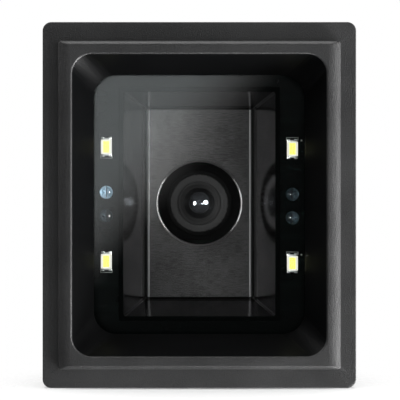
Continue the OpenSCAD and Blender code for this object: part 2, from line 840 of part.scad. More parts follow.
// Plate at the bottom of the tunnel, with the round hole for the lens and the sensor posts.
module camera_bracket() {
    color("#4b4d4f")
        difference() {
            union() {
                upright(-pad_h / 2, pad_h / 2)
                    polygon([[-pad_w / 2, tunnel_back + weld], [-pad_w / 2, tunnel_floor_y + pad_chamfer],
                        [pad_chamfer - pad_w / 2, tunnel_floor_y], [pad_w / 2 - pad_chamfer, tunnel_floor_y],
                        [pad_w / 2, tunnel_floor_y + pad_chamfer], [pad_w / 2, tunnel_back + weld]]);
                plate(tunnel_back, bracket_back)
                    rounded_rect(bracket_w, bracket_h, bracket_r);
                four(post_x, post_x)
                    rod(tunnel_back + weld, sensor_board_front, post_r);
            }
            rod(tunnel_floor_y - over, bracket_back + over, lens_hole_d / 2);
            countersink(tunnel_floor_y, lens_hole_d / 2, lens_hole_chamfer, lens_hole_chamfer_depth);
            four(bracket_screw_x, bracket_screw_z)
                rod(tunnel_back - over, bracket_back + over, board_screw_r + pass_clear);
            four(post_x, post_x)
                rod(sensor_board_front - sensor_bite - pilot_spare, sensor_board_front + over,
                    board_screw_r + pilot_clear);
        }
}

module bracket_screws() {
    color("#6d6f72")
        four(bracket_screw_x, bracket_screw_z)
            screw(bracket_back, board_screw_r, bracket_t + bracket_bite, board_head_r, board_head_h);
}

// Lens barrel: notched head, threaded end, and seats for the two lenses and the retaining ring.
module lens_barrel() {
    lens_seat = retainer_depth + front_lens_t;
    rear_seat = lens_len - rear_lens_setback - rear_lens_t;
    front_bore = front_lens_r + press_clear;
    rear_bore = rear_lens_r + press_clear;
    ring_bore = retainer_r + press_clear;
    color("#2c2d2f")
        difference() {
            turned(lens_front)
                polygon([[ring_bore, 0], [lens_r, 0], [lens_r, lens_head_len], [thread_r, lens_head_len],
                    [thread_r, lens_len], [rear_bore, lens_len], [rear_bore, rear_seat],
                    [stop_r, rear_seat], [stop_r, lens_seat], [front_bore, lens_seat],
                    [front_bore, retainer_depth], [ring_bore, retainer_depth]]);
            for (i = [0 : grip_count - 1])
                rotate([0, i * 360 / grip_count, 0])
                    translate([lens_r, 0, 0])
                        rod(lens_front - over, lens_front + lens_head_len - grip_r, grip_r);
        }
}

// Stepped retaining ring in front of the front lens.
module lens_retainer() {
    rise = (retainer_depth - retainer_setback) / 3;
    mid_r = retainer_hole_r + retainer_step;
    wide_r = mid_r + retainer_step;
    color("#1c1d1f")
        turned(lens_front + retainer_setback)
            polygon([[wide_r, 0], [retainer_r, 0], [retainer_r, 3 * rise], [retainer_hole_r, 3 * rise],
                [retainer_hole_r, 2 * rise], [mid_r, 2 * rise], [mid_r, rise], [wide_r, rise]]);
}

// Disc with a spherical front, drawn as radius and depth behind its front edge.
module domed_disc(disc_r, disc_t, cap_r, rise) {
    ball_r = (cap_r * cap_r + rise * rise) / (2 * rise);
    square([disc_r, disc_t]);
    intersection() {
        translate([0, ball_r - rise])
            circle(r = ball_r);
        translate([0, -rise])
            square([cap_r, rise + disc_t / 2]);
    }
}

module front_lens() {
    color("#5f7f9a", 0.6)
        turned(lens_front + retainer_depth)
            domed_disc(front_lens_r, front_lens_t, retainer_hole_r - pane_clear, front_lens_rise);
}

module rear_lens() {
    color("#5f7f9a", 0.6)
        turned(lens_back - rear_lens_setback - rear_lens_t)
            domed_disc(rear_lens_r, rear_lens_t, stop_r - pane_clear, rear_lens_t / 3);
}

// Holder: threaded tube on a square foot that covers the sensor.
module lens_holder() {
    color("#1a1b1d")
        difference() {
            union() {
                plate(sensor_board_front - holder_foot_h, sensor_board_front) {
                    square([holder_foot, holder_foot], center = true);
                    square([2 * holder_ear_x, 2 * holder_ear_r], center = true);
                    for (sx = [-1, 1])
                        translate([sx * holder_ear_x, 0])
                            circle(r = holder_ear_r);
                }
                rod(holder_front, sensor_board_front - holder_foot_h + weld, thread_r + holder_wall);
            }
            rod(holder_front - over, ledge_front, thread_r + pilot_clear);
            plate(ledge_front - over, ledge_back + over)
                square(ledge_opening, center = true);
            plate(ledge_back, sensor_board_front + over)
                square(holder_foot - 2 * holder_foot_wall, center = true);
            pair(holder_ear_x)
                rod(sensor_board_front - holder_bite - pilot_spare, sensor_board_front + over,
                    holder_screw_r + pilot_clear);
        }
}

module holder_screws() {
    color("#8a8c8f")
        pair(holder_ear_x)
            screw(sensor_board_back, holder_screw_r, sensor_board_t + holder_bite, holder_head_r,
                holder_head_h);
}

module ir_filter() {
    color("#b46a6a", 0.5)
        plate(ledge_back, ledge_back + filter_t)
            square(filter_w, center = true);
}

// Sensor package with a shallow well over its pixel area.
module image_sensor() {
    well_w = sensor_w * 0.7;
    well_depth = sensor_t * 0.2;
    color("#2a2d33")
        difference() {
            plate(sensor_board_front - sensor_t, sensor_board_front)
                square(sensor_w, center = true);
            plate(sensor_board_front - sensor_t - over, sensor_board_front - sensor_t + well_depth)
                square(well_w, center = true);
        }
}

module sensor_board() {
    color("#123524")
        difference() {
            plate(sensor_board_front, sensor_board_back)
                rounded_rect(sensor_board_w, sensor_board_w, main_board_r);
            four(post_x, post_x)
                rod(sensor_board_front - over, sensor_board_back + over, board_screw_r + pass_clear);
            pair(holder_ear_x)
                rod(sensor_board_front - over, sensor_board_back + over, holder_screw_r + pass_clear);
        }
}

module sensor_screws() {
    color("#8a8c8f")
        four(post_x, post_x)
            screw(sensor_board_back, board_screw_r, sensor_board_t + sensor_bite, board_head_r, board_head_h);
}

module link_plug() {
    color("#d9d3c0")
        plate(sensor_board_back, main_board_front - link_socket_h)
            translate([0, -link_drop])
                square([link_w, link_d], center = true);
}

module link_socket() {
    color("#c9c2ad")
        plate(main_board_front - link_socket_h, main_board_front)
            translate([0, -link_drop])
                square([link_w, link_d], center = true);
}

module main_board() {
    color("#123524")
        difference() {
            plate(main_board_front, main_board_back)
                rounded_rect(main_board_w, main_board_h, main_board_r);
            four(main_screw_x, main_screw_z)
                rod(main_board_front - over, main_board_back + over, board_screw_r + pass_clear);
        }
}

module main_board_screws() {
    color("#8a8c8f")
        four(main_screw_x, main_screw_z)
            translate([0, main_board_front, 0])
                mirror([0, 1, 0])
                    screw(0, board_screw_r, board_t + main_bite, board_head_r, board_head_h);
}

// Square chip on the front of the main board.
module chip(x, w) {
    plate(main_board_front - chip_t, main_board_front)
        translate([x, chip_z])
            square(w, center = true);
}

module processor_chip() {
    color("#202225")
        chip(processor_x, processor_w);
}

module memory_chip() {
    color("#26282b")
        chip(memory_x, memory_w);
}

module beeper() {
    color("#17181a")
        translate([-beeper_shift, 0, beeper_z])
            difference() {
                rod(main_board_front - beeper_h, main_board_front, beeper_d / 2);
                rod(main_board_front - beeper_h - over, main_board_front - beeper_h / 2, beeper_hole_r);
            }
}

// Outline of the plug opening in plan: the latch slot is on the front side.
module socket_outline() {
    y_back = main_board_front - socket_wall;
    translate([-socket_w / 2, y_back - socket_h])
        square([socket_w, socket_h]);
    translate([-latch_w / 2, y_back - socket_h - latch_h])
        square([latch_w, latch_h + weld]);
}

// Modular jack at the lower edge of the main board, open to the bottom of the housing.
module cable_jack() {
    color("#202123")
        difference() {
            upright(jack_z, jack_z + jack_len)
                translate([-jack_w / 2, main_board_front - jack_h])
                    square([jack_w, jack_h]);
            upright(jack_z - over, jack_z + socket_depth)
                socket_outline();
        }
}

// Sprung contacts along the board side of the plug opening.
module jack_contacts() {
    y0 = main_board_front - socket_wall;
    z0 = jack_z + contact_root;
    z1 = z0 + contact_root;
    z2 = z1 + contact_run;
    color("#c9a24a")
        for (i = [0 : contact_count - 1])
            translate([(i - (contact_count - 1) / 2) * contact_pitch, 0, 0])
                across(-contact_w / 2, contact_w / 2)
                    polygon([[y0, z0], [y0, z1], [y0 - contact_rise, z2],
                        [y0 - contact_rise - contact_t, z2], [y0 - contact_t, z1], [y0 - contact_t, z0]]);
}

// Quarter turn of the ribbon, drawn around its centre.
module ribbon_bend(side) {
    intersection() {
        difference() {
            circle(r = ribbon_bend_r + ribbon_t / 2);
            circle(r = ribbon_bend_r - ribbon_t / 2);
        }
        translate([side > 0 ? 0 : -2 * ribbon_bend_r, 0])
            square(2 * ribbon_bend_r);
    }
}

// Flat cable from the illumination board, along the top wall, to the main board.
module led_ribbon() {
    y_front = light_board_back + plug_t / 2;
    y_back = main_board_front - plug_t / 2;
    bend_z = plug_top + ribbon_lead;
    color("#d8d8d2")
        across(ribbon_shift - ribbon_w / 2, ribbon_shift + ribbon_w / 2) {
            for (y = [y_front, y_back])
                translate([y - ribbon_t / 2, plug_top])
                    square([ribbon_t, ribbon_lead]);
            translate([y_front + ribbon_bend_r, bend_z])
                ribbon_bend(-1);
            translate([y_back - ribbon_bend_r, bend_z])
                ribbon_bend(1);
            translate([y_front + ribbon_bend_r, ribbon_top - ribbon_t / 2])
                square([y_back - y_front - 2 * ribbon_bend_r, ribbon_t]);
        }
}

module ribbon_connectors() {
    half = ribbon_w / 2 + plug_wall;
    color("#e4dfcf")
        for (y = [light_board_back, main_board_front - plug_t])
            across(ribbon_shift - half, ribbon_shift + half)
                translate([y, plug_top - plug_h])
                    square([plug_t, plug_h]);
}

// Shell of the housing: round corners along its length and a chamfer around its back.
module housing_outside() {
    hull() {
        plate(body_front, body_back - back_chamfer)
            rounded_rect(body_w, body_h, body_r, $fn = hull_fn);
        plate(body_back - skin, body_back)
            rounded_rect(body_w - 2 * back_chamfer, body_h - 2 * back_chamfer, body_r - back_chamfer,
                $fn = hull_fn);
    }
}

// Rear housing with screw columns, board bosses, insert bosses and the opening for the jack.
module rear_housing() {
    insert_front = body_back - insert_len;
    color("#37383a")
        difference() {
            union() {
                difference() {
                    housing_outside();
                    plate(body_front - over, body_inner_back)
                        rounded_rect(body_inner_w, body_inner_h, body_inner_r);
                }
                four(case_screw_x, case_screw_z)
                    rod(column_front, body_inner_back + weld, column_r);
                four(insert_x, insert_z)
                    rod(insert_front - insert_floor, body_inner_back + weld, insert_boss_r);
                four(main_screw_x, main_screw_z)
                    rod(main_board_back, body_inner_back + weld, main_boss_r);
            }
            four(case_screw_x, case_screw_z) {
                rod(case_seat, body_back + over, well_r);
                rod(column_front - over, case_seat + over, case_screw_r + pass_clear);
            }
            four(insert_x, insert_z)
                rod(insert_front, body_back + over, insert_r + press_clear);
            four(main_screw_x, main_screw_z)
                rod(main_board_back - over, main_board_back + main_bite + pilot_spare,
                    board_screw_r + pilot_clear);
            upright(-body_h / 2 - over, -body_inner_h / 2 + over)
                translate([-jack_w / 2 - jack_clear, main_board_front - jack_h - jack_clear])
                    square([jack_w + 2 * jack_clear, jack_h + 2 * jack_clear]);
        }
}

// Rubber seal between the flange and the front edge of the housing, around the spigot.
module housing_gasket() {
    color("#1d1e20")
        plate(flange_t, body_front)
            difference() {
                rounded_rect(body_w - 2 * seal_setback, body_h - 2 * seal_setback, body_r - seal_setback);
                rounded_rect(body_inner_w, body_inner_h, body_inner_r);
            }
}

module case_screws() {
    color("#77797c")
        four(case_screw_x, case_screw_z)
            screw(case_seat, case_screw_r, column_floor + column_gap + case_bite, case_head_r, case_head_h);
}

// Threaded brass inserts, flush with the back of the housing.
module mounting_inserts() {
    color("#b08d3e")
        four(insert_x, insert_z)
            turned(body_back - insert_len)
                polygon([[insert_hole_r, 0], [insert_r, 0], [insert_r, insert_len / 3],
                    [insert_r - insert_groove, insert_len / 3], [insert_r - insert_groove, insert_len / 2],
                    [insert_r, insert_len / 2], [insert_r, insert_len], [insert_hole_r, insert_len]]);
}

front_bezel();
window_gasket();
window();
illumination_board();
led_packages();
led_phosphors();
led_terminals();
aiming_leds();
light_tunnel();
tunnel_screws();
camera_bracket();
bracket_screws();
lens_barrel();
lens_retainer();
front_lens();
rear_lens();
lens_holder();
holder_screws();
ir_filter();
image_sensor();
sensor_board();
sensor_screws();
link_plug();
link_socket();
main_board();
main_board_screws();
processor_chip();
memory_chip();
beeper();
cable_jack();
jack_contacts();
led_ribbon();
ribbon_connectors();
rear_housing();
housing_gasket();
case_screws();
mounting_inserts();
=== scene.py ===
import json
import math

import bmesh
import bpy
from mathutils import Matrix, Vector


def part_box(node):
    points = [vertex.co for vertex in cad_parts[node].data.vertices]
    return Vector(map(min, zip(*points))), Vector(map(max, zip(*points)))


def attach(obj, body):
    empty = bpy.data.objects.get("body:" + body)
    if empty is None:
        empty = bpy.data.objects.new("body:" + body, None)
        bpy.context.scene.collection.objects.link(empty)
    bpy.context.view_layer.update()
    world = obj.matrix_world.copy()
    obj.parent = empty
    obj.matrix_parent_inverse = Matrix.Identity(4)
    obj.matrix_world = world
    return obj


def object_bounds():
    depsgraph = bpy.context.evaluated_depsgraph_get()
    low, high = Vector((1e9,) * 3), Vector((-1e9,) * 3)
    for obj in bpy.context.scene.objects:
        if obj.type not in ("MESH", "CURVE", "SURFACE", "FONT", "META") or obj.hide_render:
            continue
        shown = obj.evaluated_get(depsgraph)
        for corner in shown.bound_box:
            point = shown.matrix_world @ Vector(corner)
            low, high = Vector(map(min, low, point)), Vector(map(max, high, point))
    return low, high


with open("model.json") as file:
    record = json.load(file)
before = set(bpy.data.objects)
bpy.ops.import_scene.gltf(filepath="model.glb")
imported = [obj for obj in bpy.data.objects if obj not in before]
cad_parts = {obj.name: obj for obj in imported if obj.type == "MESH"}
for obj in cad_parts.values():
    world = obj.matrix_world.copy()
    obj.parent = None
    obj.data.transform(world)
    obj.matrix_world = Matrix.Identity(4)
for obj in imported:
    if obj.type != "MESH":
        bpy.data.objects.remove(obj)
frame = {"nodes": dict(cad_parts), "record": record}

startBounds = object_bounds()
cadNodes = frame["nodes"]
mm = 0.001
print("frame loaded:", len(cadNodes), "nodes")


def frontOf(node):  # y of a node's foremost point, in millimetres
    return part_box(node)[0].y / mm


def backOf(node):
    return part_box(node)[1].y / mm


# shader helpers

class Signal:  # a node socket that can stand in an expression
    def __init__(self, tree, socket):
        self.tree = tree
        self.socket = socket

    def worked(self, operation, *terms):
        return self.tree.node("Math", {"operation": operation}, dict(enumerate(terms)))

    def __add__(self, other):
        return self.worked("ADD", self, other)

    def __radd__(self, other):
        return self.worked("ADD", other, self)

    def __sub__(self, other):
        return self.worked("SUBTRACT", self, other)

    def __rsub__(self, other):
        return self.worked("SUBTRACT", other, self)

    def __mul__(self, other):
        return self.worked("MULTIPLY", self, other)

    def __rmul__(self, other):
        return self.worked("MULTIPLY", other, self)

    def __pow__(self, other):
        return self.worked("POWER", self, other)

    def __gt__(self, other):
        return self.worked("GREATER_THAN", self, other)

    def __lt__(self, other):
        return self.worked("LESS_THAN", self, other)

    def __abs__(self):
        return self.worked("ABSOLUTE", self)


class Tree:  # the nodes of a finish or of the surroundings
    def __init__(self, owner):
        owner.use_nodes = True
        self.owner = owner
        self.nodes = owner.node_tree.nodes
        self.links = owner.node_tree.links

    def feed(self, slot, term):
        if isinstance(term, Signal):
            self.links.new(term.socket, slot)
        else:
            slot.default_value = term

    def node(self, kind, settings=None, sockets=None, output=0):
        made = self.nodes.new("ShaderNode" + kind)
        for name, setting in (settings or {}).items():
            setattr(made, name, setting)
        for name, term in (sockets or {}).items():
            self.feed(made.inputs[name], term)
        return Signal(self, made.outputs[output])

    def place(self):
        return self.node("TexCoord", output=3)

    def axes(self):  # x, y and z on the part, in millimetres
        split = self.node("SeparateXYZ", sockets={0: self.place()})
        outs = split.socket.node.outputs
        return [Signal(self, out) * 1000 for out in outs]

    def noise(self, size, detail, rough, stretch=None):  # size in millimetres
        where = self.place()
        if stretch:
            where = self.node("VectorMath", {"operation": "MULTIPLY"}, {0: where, 1: stretch})
        return self.node("TexNoise", None, {"Vector": where, "Scale": 1 / (size * mm),
                                            "Detail": detail, "Roughness": rough})

    def rise(self, value, low, high):  # smooth step from 0 to 1
        return self.node("MapRange", {"interpolation_type": "SMOOTHSTEP"},
                         {0: value, 1: low, 2: high, 3: 0.0, 4: 1.0})

    def mix(self, factor, first, second):
        return self.node("Mix", {"data_type": "RGBA"}, {0: factor, 6: first, 7: second}, 2)


class Finish(Tree):  # one material, with its fixed numbers set on the shader
    def __init__(self, name, fixed=None):
        super().__init__(bpy.data.materials.new(name))
        self.shader = self.nodes["Principled BSDF"]
        for slot, number in (fixed or {}).items():
            self.shader.inputs[slot].default_value = number

    def paint(self, **signals):
        for slot, term in signals.items():
            words = "".join(" " + c if c.isupper() else c for c in slot).title().strip()
            self.feed(self.shader.inputs[words], term)
        return self.owner

    def second(self, mask, fixed, **signals):  # another shader, shown where the mask is 1
        first, self.shader = self.shader, self.nodes.new("ShaderNodeBsdfPrincipled")
        for slot, number in fixed.items():
            self.shader.inputs[slot].default_value = number
        self.paint(**signals)
        both = self.node("MixShader", None, {0: mask, 1: Signal(self, first.outputs[0]),
                                             2: Signal(self, self.shader.outputs[0])})
        self.links.new(both.socket, self.nodes["Material Output"].inputs["Surface"])
        return self.owner

    def mirrorShare(self, faceOn):  # how much of a clear skin mirrors, more towards the edges of view
        facing = self.node("LayerWeight", None, {"Blend": 0.5}, 1)
        return faceOn + (1 - faceOn) * facing ** 5

    def bump(self, height, depth, strength):
        return self.node("Bump", None, {"Strength": strength, "Distance": depth * mm, "Height": height})


def grey(level):
    return (level, level, level, 1)


# finishes

bezelLook = {
    "dark": (0.005, 0.0051, 0.0054, 1), "light": (0.021, 0.0211, 0.0216, 1), "rough": 0.42,
    "cloud": 14, "grain": 0.26, "fleck": 0.702, "grainDepth": 0.12,
    "recessDark": (0.0006, 0.0007, 0.0008, 1), "recessLight": (0.0016, 0.0017, 0.0019, 1),
    "recessRough": 0.32, "recessShine": 0.15, "recessHalfWidth": 27.45, "recessHalfHeight": 32.6,
    "recessFront": frontOf("front_bezel") + 0.25, "recessBack": backOf("window") + 0.3,
}


def mouldedPlastic(name, look):
    tree = Finish(name, {"IOR": 1.5})
    cloud = tree.noise(look["cloud"], 3, 0.6)
    grain = tree.noise(look["grain"], 2, 0.65)
    fleck = tree.noise(look["fleck"], 1, 0.5)
    rough = look["rough"] + 0.10 * (cloud - 0.5) + 0.12 * (grain - 0.5)
    tone = tree.rise(0.3 * cloud + 0.7 * grain, 0.36, 0.64)
    tree.paint(baseColor=tree.mix(tone, look["dark"], look["light"]), roughness=rough,
               normal=tree.bump(0.85 * grain + 0.15 * fleck, look["grainDepth"], 1.0))
    if "recessRough" not in look:
        return tree.owner
    x, y, z = tree.axes()  # the flared recess has a smoother, blacker skin
    inside = (abs(x) < look["recessHalfWidth"]) * (abs(z) < look["recessHalfHeight"])
    inside = inside * (y > look["recessFront"]) * (y < look["recessBack"])
    return tree.second(inside, {"IOR": 1.5, "Specular IOR Level": look["recessShine"]},
                       baseColor=tree.mix(grain, look["recessDark"], look["recessLight"]),
                       roughness=look["recessRough"] + 0.1 * (cloud - 0.5),
                       normal=tree.bump(grain, look["grainDepth"], 0.2))


rubberLook = {"dark": grey(0.010), "light": grey(0.020), "rough": 0.72,
              "cloud": 3, "bloom": 0.4, "bloomDepth": 0.02}


def rubber():
    look = rubberLook
    tree = Finish("sealRubber")
    cloud = tree.noise(look["cloud"], 3, 0.6)
    bloom = tree.noise(look["bloom"], 2, 0.6)
    return tree.paint(baseColor=tree.mix(cloud, look["dark"], look["light"]),
                      roughness=look["rough"] + 0.15 * (bloom - 0.5),
                      normal=tree.bump(bloom, look["bloomDepth"], 0.4))


glassLook = {"smear": 0.012, "smearSize": 11, "smearStretch": (1, 1, 2.2), "faceOn": 0.04}


# thin pane: clear straight through, under a mirror layer
def windowGlass():
    look = glassLook
    tree = Finish("windowGlass", {"Metallic": 1.0, "Base Color": grey(1)})
    smear = tree.rise(tree.noise(look["smearSize"], 3, 0.55, look["smearStretch"]), 0.45, 0.75)
    return tree.paint(roughness=look["smear"] * smear, alpha=tree.mirrorShare(look["faceOn"]))


maskLook = {"dark": (0.0012, 0.0030, 0.0028, 1), "light": (0.004, 0.009, 0.008, 1), "rough": 0.16,
            "shine": 0.12, "cloud": 6, "weave": 0.55, "lanes": 60.0, "relief": 0.015}
greenLook = {"dark": (0.008, 0.045, 0.024, 1), "light": (0.018, 0.090, 0.048, 1), "rough": 0.30,
             "shine": 0.5, "cloud": 6, "weave": 0.5, "lanes": 60.0, "relief": 0.015}


def solderMask(name, look):
    tree = Finish(name, {"IOR": 1.5, "Specular IOR Level": look["shine"]})
    cloud = tree.noise(look["cloud"], 2, 0.5)
    lanes = tree.node("TexWave", {"wave_type": "BANDS", "bands_direction": "Z"},
                      {"Vector": tree.place(), "Scale": look["lanes"], "Distortion": 1.5, "Detail": 1.0})
    weave = tree.noise(look["weave"], 1, 0.5)
    tracks = tree.rise(lanes, 0.80, 0.92)
    return tree.paint(baseColor=tree.mix(0.35 * tracks + 0.5 * cloud, look["dark"], look["light"]),
                      roughness=look["rough"] + 0.12 * (weave - 0.5),
                      normal=tree.bump(weave + 0.8 * tracks, look["relief"], 0.4))


ledLook = {
    "body": (0.86, 0.88, 0.83, 1), "bodyWarm": (0.90, 0.90, 0.78, 1), "bodyGlow": 0.80, "bodySpeck": 0.5,
    "gel": (0.70, 0.72, 0.07, 1), "gelPale": (0.86, 0.87, 0.30, 1), "gelGlow": 1.30, "gelSpeck": 0.25,
    "gelDepth": 0.02,
}


def ledResin():
    tree = Finish("ledWhite", {"Emission Strength": ledLook["bodyGlow"]})
    speck = tree.noise(ledLook["bodySpeck"], 2, 0.5)
    skin = tree.mix(speck, ledLook["body"], ledLook["bodyWarm"])
    return tree.paint(baseColor=skin, emissionColor=skin, roughness=0.38 + 0.2 * speck)


def ledGel():
    tree = Finish("ledPhosphor", {"Emission Strength": ledLook["gelGlow"]})
    speck = tree.noise(ledLook["gelSpeck"], 3, 0.6)
    skin = tree.mix(tree.rise(speck, 0.3, 0.75), ledLook["gel"], ledLook["gelPale"])
    return tree.paint(baseColor=skin, emissionColor=skin, roughness=0.35 + 0.3 * speck,
                      normal=tree.bump(speck, ledLook["gelDepth"], 0.5))


resinLook = {"tint": (0.86, 0.93, 0.97, 1), "deep": (0.72, 0.84, 0.92, 1), "swirl": 0.9}


def clearResin():
    tree = Finish("clearResin", {"Transmission Weight": 1.0, "IOR": 1.5})
    swirl = tree.noise(resinLook["swirl"], 2, 0.5)
    return tree.paint(baseColor=tree.mix(swirl, resinLook["tint"], resinLook["deep"]),
                      roughness=0.05 + 0.04 * swirl)


tunnelLook = {
    "wall": (0.38, 0.38, 0.39, 1), "wallDim": (0.30, 0.30, 0.31, 1), "wallRough": 0.12,
    "cloud": 5, "cloudDepth": 0.03, "drag": 0.5, "dragStretch": (1, 0.15, 1),
    "collar": (0.0012, 0.0026, 0.0024, 1), "collarLight": (0.0025, 0.0048, 0.0045, 1), "collarRough": 0.5,
    "wallFront": frontOf("light_tunnel") + 0.22, "halfWidth": 17.6, "halfHeight": 25.7,
    # painted shade: foot is the dark colour painted on the wall's foot, beside the plate
    "foot": grey(0.06), "footShadeFrom": frontOf("camera_bracket") - 1.7,
    "footShadeTo": frontOf("camera_bracket") - 1.25,
}


def tunnelGloss():
    look = tunnelLook
    tree = Finish("tunnelBlack", {"Metallic": 1.0})
    x, y, z = tree.axes()
    cloud = tree.noise(look["cloud"], 3, 0.6)
    drag = tree.noise(look["drag"], 2, 0.6, look["dragStretch"])  # faint drag lines along the draft
    collar = 1 - (y > look["wallFront"]) * (abs(x) < look["halfWidth"]) * (abs(z) < look["halfHeight"])
    foot = tree.rise(y, look["footShadeFrom"], look["footShadeTo"])  # painted shade: the wall's mirror is darkened towards its foot, beside the plate
    tree.paint(baseColor=tree.mix(foot, tree.mix(cloud, look["wall"], look["wallDim"]), look["foot"]),
               roughness=look["wallRough"] + 0.05 * (drag - 0.5) + 0.04 * cloud,
               normal=tree.bump(cloud, look["cloudDepth"], 0.15))
    return tree.second(collar, {"Specular IOR Level": 0.0},
                       baseColor=tree.mix(drag, look["collar"], look["collarLight"]),
                       roughness=look["collarRough"] + 0.2 * (drag - 0.5))


satinLook = {
    "dark": grey(0.026), "light": grey(0.108), "rough": 0.44, "metal": 0.55,
    "cloud": 8, "grain": 0.20, "brush": 0.20, "brushStretch": (0.12, 1, 1), "grainDepth": 0.05,
    # painted shade: under is the near black painted on all behind the plate's face
    "plateBack": frontOf("camera_bracket") + 0.38, "under": grey(0.004),
    # the pale edge band is bare cut metal, widened past the cut onto the flat face as a painted highlight
    "edge": grey(0.95), "edgeHalfWidth": 11.50, "edgeMetal": 0.2, "edgeRough": 0.35,
    "ring": grey(0.22), "ringRadius": 9.93, "ringMetal": 1.0, "ringRough": 0.16,
}


# satin face with bare cut edges at its sides and round its hole; the pale side band reaches a little past the
# cut, a painted highlight
def satinPlate():
    look = satinLook
    tree = Finish("bracketSatin", {"IOR": 1.5})
    x, y, z = tree.axes()
    cloud = tree.noise(look["cloud"], 3, 0.6)
    brush = tree.noise(look["brush"], 3, 0.6, look["brushStretch"])  # grain runs across the plate
    speck = tree.noise(look["grain"], 2, 0.7)
    tone = tree.rise(0.2 * cloud + 0.3 * brush + 0.5 * speck, 0.40, 0.60)
    front = y < look["plateBack"]
    edge = (abs(x) > look["edgeHalfWidth"]) * front
    ring = ((x * x + z * z) ** 0.5 < look["ringRadius"]) * front
    plain = 1 - edge - ring
    # painted shade: behind the face, in the side gaps and down the hole, the colour is near black
    skin = tree.mix(front, look["under"], tree.mix(tone, look["dark"], look["light"]))
    skin = tree.mix(ring, tree.mix(edge, skin, look["edge"]), look["ring"])
    rough = look["rough"] + 0.2 * (speck - 0.5)
    return tree.paint(baseColor=skin,
                      roughness=rough * plain + look["edgeRough"] * edge + look["ringRough"] * ring,
                      metallic=look["metal"] * plain + look["edgeMetal"] * edge + look["ringMetal"] * ring,
                      normal=tree.bump((0.6 * brush + 0.4 * speck) * plain, look["grainDepth"], 0.7))


def metal(name, look):
    tree = Finish(name, {"Metallic": 1.0})
    cloud = tree.noise(look["cloud"], 3, 0.6)
    lines = tree.noise(look["line"], 2, 0.6, look.get("stretch", (1, 1, 1)))
    return tree.paint(baseColor=tree.mix(cloud, look["dark"], look["light"]),
                      roughness=look["rough"] + 0.18 * (lines - 0.5),
                      normal=tree.bump(lines, look["depth"], 0.4))


steelLook = {"dark": grey(0.33), "light": grey(0.50), "rough": 0.34,
             "cloud": 1.4, "line": 0.12, "depth": 0.0096}
tinLook = {"dark": (0.62, 0.65, 0.64, 1), "light": (0.83, 0.86, 0.85, 1), "rough": 0.30,
           "cloud": 0.5, "line": 0.15, "depth": 0.012}
goldLook = {"dark": (0.66, 0.44, 0.13, 1), "light": (0.86, 0.64, 0.26, 1), "rough": 0.26,
            "cloud": 0.8, "line": 0.1, "depth": 0.008}
brassLook = {"dark": (0.50, 0.34, 0.10, 1), "light": (0.70, 0.52, 0.20, 1), "rough": 0.36,
             "cloud": 1.6, "line": 0.14, "depth": 0.0112, "stretch": (1, 4, 1)}

barrelLook = {
    "dark": grey(0.046), "light": grey(0.080), "rough": 0.40, "cloud": 2.5, "turn": 0.16, "turnDepth": 0.02,
    "boreShadeDark": grey(0.014), "boreShadeLight": grey(0.040), "innerFrom": 4.9, "innerTo": 5.1,
    "lip": grey(0.010), "lipFrom": 6.55, "lipTo": 6.7,
}


# turned rings, with painted shade blackening the inside of the bore; the outer lip is darker too
def blackAnodised():
    look = barrelLook
    tree = Finish("lensMetal", {"IOR": 1.5})
    x, _, z = tree.axes()
    radius = (x * x + z * z) ** 0.5
    turn = tree.node("TexNoise", {"noise_dimensions": "1D"},
                     {"W": radius, "Scale": 1 / look["turn"], "Detail": 2.0})
    cloud = tree.noise(look["cloud"], 2, 0.5)
    outer = tree.rise(radius, look["innerFrom"], look["innerTo"])
    face = tree.mix(0.6 * turn + 0.4 * cloud, look["dark"], look["light"])
    # painted shade: the bore inside innerFrom is painted darker
    skin = tree.mix(outer, tree.mix(turn, look["boreShadeDark"], look["boreShadeLight"]), face)
    skin = tree.mix(tree.rise(radius, look["lipFrom"], look["lipTo"]), skin, look["lip"])
    return tree.paint(baseColor=skin, metallic=(0.25 + 0.2 * cloud) * outer,
                      roughness=look["rough"] + 0.2 * (turn - 0.5),
                      normal=tree.bump(turn, look["turnDepth"], 0.5))


opticLook = {"tint": (0.90, 0.95, 1.0, 1), "rim": (0.82, 0.90, 1.0, 1), "faceOn": 0.07,
             "rough": 0.05, "cloud": 4}
filterLook = {"tint": (1.0, 0.62, 0.66, 1), "rim": (0.86, 0.58, 0.72, 1), "faceOn": 0.10,
              "rough": 0.04, "cloud": 4}


def coatedGlass(name, look):
    tree = Finish(name, {"Metallic": 1.0})
    cloud = tree.noise(look["cloud"], 2, 0.5)
    return tree.paint(baseColor=tree.mix(cloud, look["tint"], look["rim"]),
                      roughness=look["rough"] + 0.02 * cloud, alpha=tree.mirrorShare(look["faceOn"]))


plasticRelief = 0.012  # millimetres


def plainPlastic(name, look):
    tree = Finish(name, {"IOR": 1.5})
    cloud = tree.noise(look["cloud"], 3, 0.6)
    grain = tree.noise(look["grain"], 2, 0.6)
    return tree.paint(baseColor=tree.mix(cloud, look["dark"], look["light"]),
                      roughness=look["rough"] + 0.14 * (grain - 0.5),
                      normal=tree.bump(grain, plasticRelief, 0.4))


holderLook = {"dark": grey(0.012), "light": grey(0.022), "rough": 0.55, "cloud": 4, "grain": 0.2}
chipLook = {"dark": grey(0.017), "light": grey(0.030), "rough": 0.60, "cloud": 2, "grain": 0.12}
ivoryLook = {"dark": (0.60, 0.56, 0.44, 1), "light": (0.72, 0.68, 0.56, 1), "rough": 0.42,
             "cloud": 3, "grain": 0.2}
jackLook = {"dark": grey(0.011), "light": grey(0.019), "rough": 0.34, "cloud": 5, "grain": 0.25}
ribbonLook = {"dark": (0.62, 0.62, 0.58, 1), "light": (0.76, 0.76, 0.72, 1), "rough": 0.40,
              "cloud": 4, "grain": 0.3}
inkLook = {"dark": (0.52, 0.57, 0.55, 1), "light": (0.72, 0.77, 0.74, 1), "rough": 0.6,
           "cloud": 0.6, "grain": 0.15}
housingLook = {"dark": grey(0.009), "light": grey(0.024), "rough": 0.50,
               "cloud": 14, "grain": 0.26, "fleck": 0.702, "grainDepth": 0.12}

